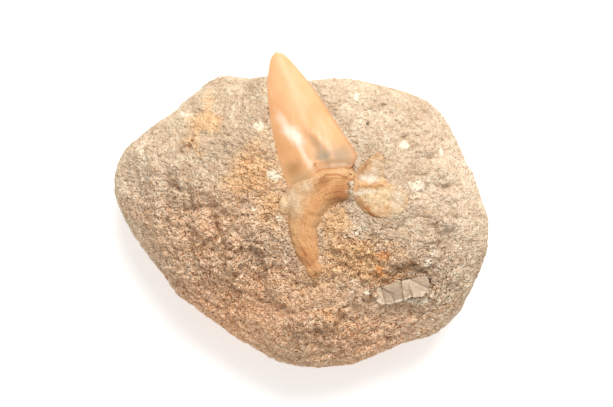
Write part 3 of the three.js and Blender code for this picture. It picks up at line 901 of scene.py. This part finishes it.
def shell_surface(settings):
    """The shell scrap over a grid of distance from its middle and angle: a dished plate, stepped
    at its cracks, that follows the tilt of the stone's face."""
    count, columns = SHELL_GRID
    low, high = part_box("shell_scrap")
    f = np.linspace(0, math.pi, count)[:, None]
    angle = np.linspace(0, TURN, columns, endpoint=False)[None, :]
    out = np.clip(np.sin(f), 0, 1) ** 0.6
    radius = shell_radius(angle + 0 * f)
    wobble = 1 + 0.06 * smooth_noise(9 * np.cos(angle), 9 * np.sin(angle), 2.0)
    mx, my = SHELL_MIDDLE
    x = mx + out * radius * wobble * np.cos(angle)
    y = my + out * radius * wobble * np.sin(angle)
    top = f < math.pi / 2
    middle = (low[2] + high[2]) / 2 / MM
    z = middle + SHELL_LIFT + SHELL_TILT * (y - my) + settings.proud / MM
    facet, crack = np.zeros_like(x), np.zeros_like(x)
    for number, (start, end) in enumerate(SHELL_CRACKS):
        along, across = along_and_across(x, y, start, end)
        ends = smoothstep(along, -0.3, 0.0) * smoothstep(1 - along, -0.3, 0.0)
        line = ends * np.exp(-((across / 0.22) ** 2)) * top
        z -= CRACK_DEPTH * line
        crack = np.maximum(crack, line)
        step = ends * np.tanh(across / 0.25) * np.exp(-np.abs(across) / 3)
        z += CRACK_STEPS[number % 2] * step
        facet += (1 if number % 2 else -1) * step
    z += 0.2 * smooth_noise(x / 1.8, y / 1.8, 31.0) * top
    dish = 0.35 * (np.clip(np.cos(f), 0, 1) ** 0.5 - 1)
    z += np.where(top, dish, -settings.thickness / MM)
    ragged = 0.1 * smooth_noise(x / 0.8, y / 0.8, 33.0)
    margin = smoothstep(out + ragged, 0.74, 0.94) * (np.sin(angle) < -0.1)
    attributes = {"facet": 0.5 + 0.35 * facet, "crack": crack, "margin": margin}
    return grid_mesh("shell_scrap_surface", np.stack([x, y, z], axis=-1), attributes)


# Materials


def linear(red, green, blue):
    """A colour given as 0 to 255 on screen, as Blender's linear values."""
    shares = (red / 255, green / 255, blue / 255)
    return tuple(s / 12.92 if s <= 0.04045 else ((s + 0.055) / 1.055) ** 2.4 for s in shares)


class Value:
    """A number on a node's socket. Sums, products and differences add Math nodes."""

    def __init__(self, shader, socket):
        """Keeps the socket and the shader that its nodes are added to."""
        self.shader = shader
        self.socket = socket

    def math(self, operation, first, second):
        """A Math node that works on two values or numbers."""
        return self.shader.add("ShaderNodeMath", {"operation": operation}, first, second)

    def __add__(self, other):
        """The value plus another."""
        return self.math("ADD", self, other)

    def __mul__(self, other):
        """The value times another."""
        return self.math("MULTIPLY", self, other)

    def __sub__(self, other):
        """The value less another."""
        return self.math("SUBTRACT", self, other)

    def __rsub__(self, other):
        """Another less the value."""
        return self.math("SUBTRACT", other, self)

    __radd__ = __add__
    __rmul__ = __mul__


class Shader:
    """A material whose nodes are added one by one, ending in one Principled surface."""

    def __init__(self, name):
        """Makes the material with its one surface."""
        self.material = bpy.data.materials.new(name)
        self.material.use_nodes = True
        self.nodes = self.material.node_tree.nodes
        self.links = self.material.node_tree.links
        self.surface = self.nodes["Principled BSDF"]

    def add(self, kind, settings, *values, output=0, **named):
        """Adds a node of a kind, with its settings first and then the values or links of its
        sockets, by place or by name, and gives back one of its outputs."""
        node = self.nodes.new(kind)
        for key, value in settings.items():
            if key == "stops":
                self.set_stops(node.color_ramp, value)
            else:
                setattr(node, key, value)
        for place, value in [*enumerate(values), *named.items()]:
            key = place if isinstance(place, int) else place.replace("_", " ")
            self.put(node.inputs[key], value)
        return Value(self, node.outputs[output])

    def set_stops(self, ramp, stops):
        """Sets a ramp's places and colours."""
        while len(ramp.elements) < len(stops):
            ramp.elements.new(0.5)
        for element, (place, color) in zip(ramp.elements, stops):
            element.position = place
            element.color = (*color, 1)

    def put(self, socket, value):
        """Sets a socket, or links it to a value."""
        if isinstance(value, Value):
            self.links.new(value.socket, socket)
        elif isinstance(value, tuple) and len(value) == 3 and socket.type == "RGBA":
            socket.default_value = (*value, 1)
        elif value is not None:
            socket.default_value = value

    def place(self, stretch=(1, 1, 1)):
        """Object coordinates in millimetres, stretched."""
        at = self.add("ShaderNodeTexCoord", {}, output=3)
        scale = tuple(s / MM for s in stretch)
        return self.add("ShaderNodeVectorMath", {"operation": "MULTIPLY"}, at, scale)

    def noise(self, where, scale, detail, roughness):
        """Fractal noise, about 0 to 1."""
        values = {"Vector": where, "Scale": scale, "Detail": detail, "Roughness": roughness}
        return self.add("ShaderNodeTexNoise", {}, **values)

    def attribute(self, name):
        """A number kept on the mesh."""
        return self.add("ShaderNodeAttribute", {"attribute_name": name}, output=2)

    def tint(self):
        """The colour kept on the mesh."""
        return self.add("ShaderNodeAttribute", {"attribute_name": "tint"}, output=0)

    def span(self, value, low, high, to_low=0.0, to_high=1.0):
        """A value mapped smoothly from low..high to another span, held at the ends."""
        settings = {"interpolation_type": "SMOOTHSTEP"}
        return self.add("ShaderNodeMapRange", settings, value, low, high, to_low, to_high)

    def mix(self, share, a, b, blend="MIX"):
        """Colour a where the share is 0 and b where it is 1. The node's first socket is the
        share, and its two colours come after five sockets for other kinds of value."""
        settings = {"data_type": "RGBA", "blend_type": blend, "clamp_factor": True}
        others = (None,) * 5
        return self.add("ShaderNodeMix", settings, share, *others, a, b, output=2)

    def times(self, a, b):
        """Colour a multiplied by colour b."""
        return self.mix(1.0, a, b, "MULTIPLY")

    def bump(self, height, distance, strength=1.0, under=None):
        """A normal tilted by a height. distance is in millimetres."""
        values = {"Strength": strength, "Distance": distance * MM, "Height": height}
        return self.add("ShaderNodeBump", {}, Normal=under, **values)

    def finish(self, color, roughness, normal=None, **constants):
        """Links what varies to the surface, and sets the rest on its sockets."""
        self.put(self.surface.inputs["Base Color"], color)
        self.put(self.surface.inputs["Roughness"], roughness)
        if normal:
            self.put(self.surface.inputs["Normal"], normal)
        for name, value in constants.items():
            self.surface.inputs[name.replace("_", " ")].default_value = value
        return self.material


# Tints of whole grains and of the specks between them: place on the ramp, and what the stone's
# colour is multiplied by
GRAIN_STOPS = (
    (0.0, (0.62, 0.41, 0.27)),
    (0.13, (0.97, 0.87, 0.79)),
    (0.5, (1.1, 1.1, 1.1)),
    (0.85, (1.2, 1.25, 1.33)),
    (1.0, (1.45, 1.6, 1.74)),
)
SPECK_STOPS = (
    (0.38, (0.58, 0.36, 0.23)),
    (0.46, (0.97, 0.89, 0.83)),
    (0.54, (1.1, 1.1, 1.1)),
    (0.62, (1.5, 1.68, 1.84)),
)
GRAIN_SCALE = 1.15


def stone_material(settings):
    """Sandy limestone: sand grains of many tints, ochre stains, pale chalky inclusions, grime and
    painted shade in the hollows, painted light that makes the sides paler, redder places lifted by
    painted warm bounce light, and dark grains with painted shade in small holes."""
    s = Shader("sandy_limestone")
    at = s.place()
    broad = s.noise(at, 0.035, 3, 0.55)
    patchy = s.noise(at, 0.16, 4, 0.6)
    fine = s.noise(at, 1.0, 3, 0.75)
    grit = s.noise(at, 1.9, 2, 0.6)
    base = s.span(broad * 0.5 + patchy * 0.5, 0.36, 0.64)
    base = s.mix(base, tuple(settings.shade), tuple(settings.sand))
    # Painted light: the sides are made paler where soft light falls on them from all round
    base = s.mix(s.attribute("paleness") * 0.75, base, tuple(settings.bleached))
    warm, rough = s.attribute("warmth"), s.attribute("coarse")
    # Redder sand with painted warm bounce light in the lower places
    base = s.mix(warm * 0.9, base, tuple(settings.warm))
    mottle = s.mix(s.span(patchy, 0.36, 0.64), (0.92, 0.9, 0.88), (1.04, 1.06, 1.08))
    base = s.times(base, mottle)
    stain, bright = s.attribute("stain"), s.attribute("bright_stain")
    ochre = s.span(stain + (patchy - 0.5) * 1.1 + (fine - 0.5) * 0.8, 0.22, 0.85)
    base = s.mix(ochre * 0.8, base, tuple(settings.ochre))
    bright = s.span(bright + (fine - 0.5) * 1.4 + (grit - 0.5) * 0.5, 0.25, 0.85)
    base = s.mix(bright * 0.65, base, tuple(settings.bright_ochre))
    cells = s.add("ShaderNodeTexVoronoi", {}, Vector=at, Scale=GRAIN_SCALE, output=1)
    cell_tint = s.add("ShaderNodeSeparateColor", {}, cells)
    grains = s.add("ShaderNodeValToRGB", {"stops": GRAIN_STOPS}, cell_tint)
    base = s.mix(rough * 0.45 + 0.4, base, grains, "MULTIPLY")
    specks = s.add("ShaderNodeValToRGB", {"stops": SPECK_STOPS}, grit * 0.55 + fine * 0.45)
    base = s.mix(rough * 0.55 + 0.42, base, specks, "MULTIPLY")
    pale = s.attribute("inclusion") + (fine - 0.5) * 1.1 + (grit - 0.5) * 0.6
    base = s.mix(s.span(pale, 0.22, 0.6) * 0.85, base, tuple(settings.chalk))
    # Grime and painted shade: darker in the hollows of the crumbs
    dirt_and_shade = s.span(s.attribute("hollow") + (fine - 0.5) * 0.7, 0.05, 0.75)
    base = s.mix(dirt_and_shade * 0.5, base, tuple(settings.dirt_and_shade))
    # Dark grains, and painted shade in small holes, slots and gaps
    dark = s.span(s.attribute("dark_spot"), 0.25, 0.7)
    base = s.mix(dark * 0.85, base, tuple(settings.dark_spot))
    round_grain = s.add("ShaderNodeTexVoronoi", {}, Vector=at, Scale=1.5, output=0)
    relief = rough * 0.9 + 0.8
    coarse = s.bump(s.noise(at, 0.9, 1, 0.5) * relief, 1.1, 1.0)
    normal = s.bump((grit * 0.6 + round_grain * -0.5) * relief, 0.6, 1.0, coarse)
    return s.finish(base, 0.93, normal, Specular_IOR_Level=0.25)


def enamel_material(settings):
    """Polished amber enamel in the tints kept on the mesh, with fine lengthwise streaks and a darker
    right cutting edge."""
    s = Shader("amber_enamel")
    along, reach, across = (s.attribute(name) for name in ("along", "reach", "across"))
    streak_at = s.add("ShaderNodeCombineXYZ", {}, across * 5, along * 0.1, 0.0)
    streaks = s.noise(streak_at, 1.6, 4, 0.6)
    cloud_at = s.add("ShaderNodeCombineXYZ", {}, reach * 0.3, along * 0.16, 3.0)
    clouds = s.noise(cloud_at, 1.0, 4, 0.55)
    streaked = s.mix(s.span(streaks, 0.3, 0.7), (0.97, 0.95, 0.92), (1.02, 1.03, 1.05))
    body = s.times(s.tint(), streaked)
    veil = s.mix(s.span(clouds, 0.3, 0.7), (0.97, 0.94, 0.9), (1.03, 1.05, 1.08))
    body = s.times(body, veil)
    body = s.mix(s.span(across, 0.9, 1.0) * 0.45, body, tuple(settings.edge))
    rib_at = s.add("ShaderNodeCombineXYZ", {}, reach * 2.6, along * 0.12, 1.0)
    normal = s.bump(s.noise(rib_at, 1.0, 3, 0.6), 0.1, 0.4)
    roughness = s.span(clouds * 0.6 + streaks * 0.4, 0.3, 0.7, 0.42, 0.56)
    gloss = {"Specular_IOR_Level": 0.35, "Coat_Weight": 0.1, "Coat_Roughness": 0.2}
    return s.finish(body, roughness, normal, **gloss)


def root_material():
    """Fibrous root in the tints kept on the mesh, with fibres that follow the arch, pores, and
    grains of sand that still cling to it."""
    s = Shader("fibrous_root")
    at = s.place()
    along, reach, sandy = (s.attribute(name) for name in ("along", "reach", "sandy"))
    fibre_at = s.add("ShaderNodeCombineXYZ", {}, reach * 1.5, along * 0.22, 2.0)
    fibres = s.noise(fibre_at, 1.2, 4, 0.65)
    grain = s.noise(at, 1.9, 3, 0.75)
    patch = s.noise(at, 0.35, 3, 0.6)
    streaked = s.mix(s.span(fibres, 0.3, 0.7), (0.94, 0.9, 0.86), (1.04, 1.05, 1.06))
    body = s.times(s.tint(), streaked)
    veil = s.span(patch * 0.35 + grain * 0.65, 0.38, 0.62)
    body = s.times(body, s.mix(veil, (0.82, 0.75, 0.68), (1.12, 1.15, 1.2)))
    cells = s.add("ShaderNodeTexVoronoi", {}, Vector=at, Scale=GRAIN_SCALE, output=1)
    cell_tint = s.add("ShaderNodeSeparateColor", {}, cells)
    sand = s.mix(cell_tint, (0.78, 0.66, 0.54), (1.22, 1.27, 1.33))
    body = s.mix(sandy * 0.55, body, s.times(body, sand))
    normal = s.bump(grain * (sandy * 1.6 + 0.5) + fibres * 0.3, 0.6, 0.6)
    roughness = s.span(grain, 0.3, 0.7, 0.45, 0.7)
    return s.finish(body, roughness, normal, Specular_IOR_Level=0.4)


def shell_material(settings):
    """Dull grey-beige shell with faint growth bands and dark cracks."""
    s = Shader("dull_shell")
    at = s.place()
    banded = s.noise(s.place((0.25, 1.1, 1.0)), 0.8, 4, 0.6)
    grain = s.noise(at, 2.2, 3, 0.6)
    tone = s.span(banded * 0.62 + s.attribute("facet") * 0.38, 0.3, 0.7)
    body = s.mix(tone, tuple(settings.shade), tuple(settings.color))
    body = s.mix((1 - s.span(grain, 0.34, 0.54)) * 0.4, body, tuple(settings.crack))
    body = s.mix(s.attribute("margin") * 0.8, body, tuple(settings.margin))
    body = s.mix(s.attribute("crack") * 0.75, body, tuple(settings.crack))
    normal = s.bump(grain * 0.4 + banded, 0.3, 0.5)
    return s.finish(body, 0.55, normal, Specular_IOR_Level=0.4)


def floor_material(settings):
    """Plain pale paper, lit a little from below."""
    s = Shader("pale_floor")
    s.put(s.surface.inputs["Emission Color"], (1.0, 1.0, 1.0))
    light = {"Specular_IOR_Level": 0.1, "Emission_Strength": settings.floor_glow}
    return s.finish(tuple(settings.floor_color), 0.9, **light)


# Settings


def length_property(name, description, millimetres):
    """A length, given here in millimetres and kept in metres."""
    return bpy.props.FloatProperty(
        name=name, description=description, default=millimetres * MM, unit="LENGTH", precision=4
    )


def factor_property(name, description, default):
    """A strength without a unit."""
    return bpy.props.FloatProperty(
        name=name, description=description, default=default, subtype="FACTOR", min=0, soft_max=2
    )


def count_property(name, description, default):
    """A number of rows or columns."""
    return bpy.props.IntProperty(name=name, description=description, default=default, min=8)


def color_property(name, description, default):
    """A colour in linear values."""
    return bpy.props.FloatVectorProperty(
        name=name, description=description, default=default, subtype="COLOR", size=3, min=0, max=1
    )


class FOSSIL_PG_stone(bpy.types.PropertyGroup):
    """Sizes and colours of the stone"""

    rim_height: length_property("Rim height", "Height of the widest level", 19.0)
    top_rise: length_property("Top rise", "Crest above the rim", 23.0)
    tooth_level: length_property("Tooth level", "Height of the tooth's edges", 41.8)
    worn_off: length_property("Worn off", "How far the rim stays inside the solid's", 0.55)
    crumb_relief: factor_property("Crumb relief", "Strength of the fine relief", 1.0)
    rows_up: count_property("Rows above", "Rows above the rim", 112)
    rows_down: count_property("Rows below", "Rows below the rim", 36)
    columns: count_property("Columns", "Columns round the stone", 640)
    sand: color_property("Sand", "Colour of clean stone", linear(208, 187, 158))
    shade: color_property("Shade", "Colour of duller patches", linear(198, 172, 144))
    # Painted light: the paler colour laid on the stone's lit sides
    bleached: color_property("Bleached", "Colour of the palest patches", linear(221, 199, 172))
    ochre: color_property("Ochre", "Colour of the stains", linear(222, 176, 126))
    bright_ochre: color_property("Bright ochre", "Colour of the strongest stains", linear(214, 132, 66))
    # Redder sand, lightened as painted warm bounce light
    warm: color_property("Warm", "Colour of the redder sand", linear(236, 187, 146))
    chalk: color_property("Chalk", "Colour of the inclusions", linear(255, 239, 212))
    # Grime and painted shade in the hollows
    dirt_and_shade: color_property("Dirt", "Colour in the hollows", linear(152, 112, 84))
    # Dark grains, and painted shade in small holes, slots and gaps
    dark_spot: color_property("Dark spots", "Colour of the few dark spots", (0.07, 0.04, 0.025))


class FOSSIL_PG_tooth(bpy.types.PropertyGroup):
    """Sizes and colours of the tooth"""

    level: length_property("Level", "Height of the edges at their highest", 41.8)
    tint_wander: length_property("Tint wander", "How far the tints' edges wander", 0.5)
    enamel: color_property("Enamel", "Body colour of the crown", linear(232, 175, 125))
    enamel_tip: color_property("Enamel at the point", "Colour near the point", linear(234, 180, 130))
    orange: color_property("Orange", "Colour of the left flank and the valley", linear(226, 168, 114))
    # Pale enamel of the crown and of the cusplet's foot, and the painted highlight on the crown's
    # ridges
    milky_and_highlight: color_property("Milky", "Colour of the milky patch", linear(252, 238, 218))
    amber: color_property("Amber", "Colour left of the foot", linear(190, 142, 90))
    grey: color_property("Grey", "Colour by the foot", linear(154, 139, 116))
    edge: color_property("Edge", "Colour along the cutting edge", linear(176, 116, 60))
    root: color_property("Root", "Colour of the root", linear(214, 158, 104))
    # Painted shade on the root: below its rim, along the rim line, its creases and edges, and in the
    # notch at the crown's foot
    root_painted_shade: color_property("Deep root", "Colour in the root's hollows", linear(180, 118, 66))
    neck: color_property("Neck", "Colour of the neck", linear(208, 168, 122))
    lobe: color_property("Lobe", "Colour of the right lobe", linear(240, 210, 168))
    # Ochre of the lobe, also laid as painted shade along its lower edge
    lobe_ochre_and_shade: color_property("Deep lobe", "Duller colour of the lobe", linear(220, 168, 114))
    worn: color_property("Worn", "Colour of worn places", linear(240, 226, 204))


class FOSSIL_PG_shell(bpy.types.PropertyGroup):
    """Sizes and colours of the shell scrap"""

    proud: length_property("Proud", "Face above the stone around it", 0.7)
    thickness: length_property("Thickness", "Thickness of the plate", 2.4)
    color: color_property("Colour", "Colour of the shell", linear(220, 196, 168))
    shade: color_property("Shade", "Duller colour of the shell", linear(184, 160, 134))
    crack: color_property("Crack", "Colour of pits and cracks", linear(130, 98, 72))
    margin: color_property("Margin", "Colour of the bleached lower edge", linear(248, 228, 202))


class FOSSIL_PG_stage(bpy.types.PropertyGroup):
    """Floor, lights and camera"""

    floor_color: color_property("Floor", "Colour of the floor", (0.93, 0.93, 0.93))
    floor_glow: factor_property("Floor glow", "Light that comes through the floor", 0.4)
    sky: factor_property("Sky", "Strength of the light from all round", 0.55)
    key_power: bpy.props.FloatProperty(
        name="Key power", description="Power of the large light", default=22.6, unit="POWER"
    )
    distance: length_property("Camera distance", "Height above the tooth", 1600)


# Stage


def aim(place, target):
    """The turn that points a light from a place to a target."""
    return (Vector(target) - Vector(place)).to_track_quat("-Z", "Y").to_euler()


def add_floor(context, settings):
    """A wide square sheet just below the stone."""
    half, z = FLOOR_HALF, -FLOOR_DROP
    corners = [(-half, -half, z), (half, -half, z), (half, half, z), (-half, half, z)]
    mesh = bpy.data.meshes.new("floor")
    mesh.from_pydata(corners, [], [(0, 1, 2, 3)])
    mesh.materials.append(floor_material(settings))
    floor = bpy.data.objects.new("floor", mesh)
    context.collection.objects.link(floor)


def add_lights(context, settings):
    """One large soft light above the stone's far side, and an even sky."""
    lamp = bpy.data.lights.new("key", "AREA")
    lamp.shape = "DISK"
    lamp.size = KEY_SIZE
    lamp.energy = settings.key_power
    key = bpy.data.objects.new("key", lamp)
    key.location = KEY_PLACE
    key.rotation_euler = aim(KEY_PLACE, KEY_TARGET)
    context.collection.objects.link(key)

    world = bpy.data.worlds.new("sky")
    world.use_nodes = True
    background = world.node_tree.nodes["Background"]
    background.inputs["Color"].default_value = SKY_COLOR
    background.inputs["Strength"].default_value = settings.sky
    context.scene.world = world
    context.scene.view_settings.view_transform = "Standard"


def add_camera(context, settings):
    """A camera that looks straight down, as wide as VIEW_WIDTH at the tooth's height."""
    data = bpy.data.cameras.new("camera")
    data.sensor_width = SENSOR_WIDTH
    data.lens = SENSOR_WIDTH * settings.distance / VIEW_WIDTH
    camera = bpy.data.objects.new("camera", data)
    x, y = VIEW_MIDDLE
    camera.location = (x * MM, y * MM, settings.distance + FOCUS_HEIGHT)
    context.collection.objects.link(camera)
    context.scene.camera = camera


# Operators


class FOSSIL_OT_stone(bpy.types.Operator):
    """Add the stone"""

    bl_idname = "fossil.add_stone"
    bl_label = "Stone"

    def execute(self, context):
        """Makes the stone's surface and places it."""
        settings = context.scene.fossil_stone
        mesh = stone_surface(settings)
        place_piece("stone", mesh, stone_material(settings), "matrix_stone")
        return {"FINISHED"}


class FOSSIL_OT_crown(bpy.types.Operator):
    """Add the tooth's enamel crown"""

    bl_idname = "fossil.add_crown"
    bl_label = "Crown"

    def execute(self, context):
        """Makes the crown's surface and places it."""
        settings = context.scene.fossil_tooth
        mesh = crown_surface(settings)
        place_piece("crown", mesh, enamel_material(settings), "shark_tooth")
        return {"FINISHED"}


class FOSSIL_OT_root(bpy.types.Operator):
    """Add the tooth's root with its neck and side cusplets"""

    bl_idname = "fossil.add_root"
    bl_label = "Root"

    def execute(self, context):
        """Makes the root's surface and places it."""
        mesh = blanket_surface(context.scene.fossil_tooth)
        place_piece("root", mesh, root_material(), "shark_tooth")
        return {"FINISHED"}


class FOSSIL_OT_shell(bpy.types.Operator):
    """Add the scrap of shell"""

    bl_idname = "fossil.add_shell"
    bl_label = "Shell"

    def execute(self, context):
        """Makes the shell's surface and places it."""
        settings = context.scene.fossil_shell
        mesh = shell_surface(settings)
        place_piece("shell", mesh, shell_material(settings), "shell_scrap")
        return {"FINISHED"}


class FOSSIL_OT_stage(bpy.types.Operator):
    """Add the floor, the lights and the camera"""

    bl_idname = "fossil.add_stage"
    bl_label = "Stage"

    def execute(self, context):
        """Adds the floor, the lights and the camera."""
        settings = context.scene.fossil_stage
        add_floor(context, settings)
        add_lights(context, settings)
        add_camera(context, settings)
        return {"FINISHED"}


class FOSSIL_PT_panel(bpy.types.Panel):
    """Lists the fossil's pieces and their settings"""

    bl_idname = "FOSSIL_PT_panel"
    bl_label = "Fossil"
    bl_space_type = "VIEW_3D"
    bl_region_type = "UI"
    bl_category = "Fossil"

    def draw(self, context):
        """Draws a box for each part, with its buttons above its settings."""
        for name, (group, operators) in PARTS.items():
            box = self.layout.box()
            for operator in operators:
                box.operator(operator.bl_idname)
            for value in group.__annotations__:
                box.prop(getattr(context.scene, name), value)


# Each part's settings by their name on the scene, and the operators that use them
PARTS = {
    "fossil_stone": (FOSSIL_PG_stone, (FOSSIL_OT_stone,)),
    "fossil_tooth": (FOSSIL_PG_tooth, (FOSSIL_OT_crown, FOSSIL_OT_root)),
    "fossil_shell": (FOSSIL_PG_shell, (FOSSIL_OT_shell,)),
    "fossil_stage": (FOSSIL_PG_stage, (FOSSIL_OT_stage,)),
}
CLASSES = (
    *(kind for group, operators in PARTS.values() for kind in (group, *operators)),
    FOSSIL_PT_panel,
)


def register():
    """Registers the classes and puts the settings on the scene."""
    for kind in CLASSES:
        bpy.utils.register_class(kind)
    for name, (group, _) in PARTS.items():
        setattr(bpy.types.Scene, name, bpy.props.PointerProperty(type=group))


def unregister():
    """Takes the settings off the scene again, and then the classes."""
    for name in PARTS:
        delattr(bpy.types.Scene, name)
    for kind in reversed(CLASSES):
        bpy.utils.unregister_class(kind)


def main():
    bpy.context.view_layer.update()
    register()
    bpy.ops.fossil.add_stone()
    bpy.ops.fossil.add_crown()
    bpy.ops.fossil.add_root()
    bpy.ops.fossil.add_shell()
    bpy.ops.fossil.add_stage()


if __name__ == "__main__":
    main()
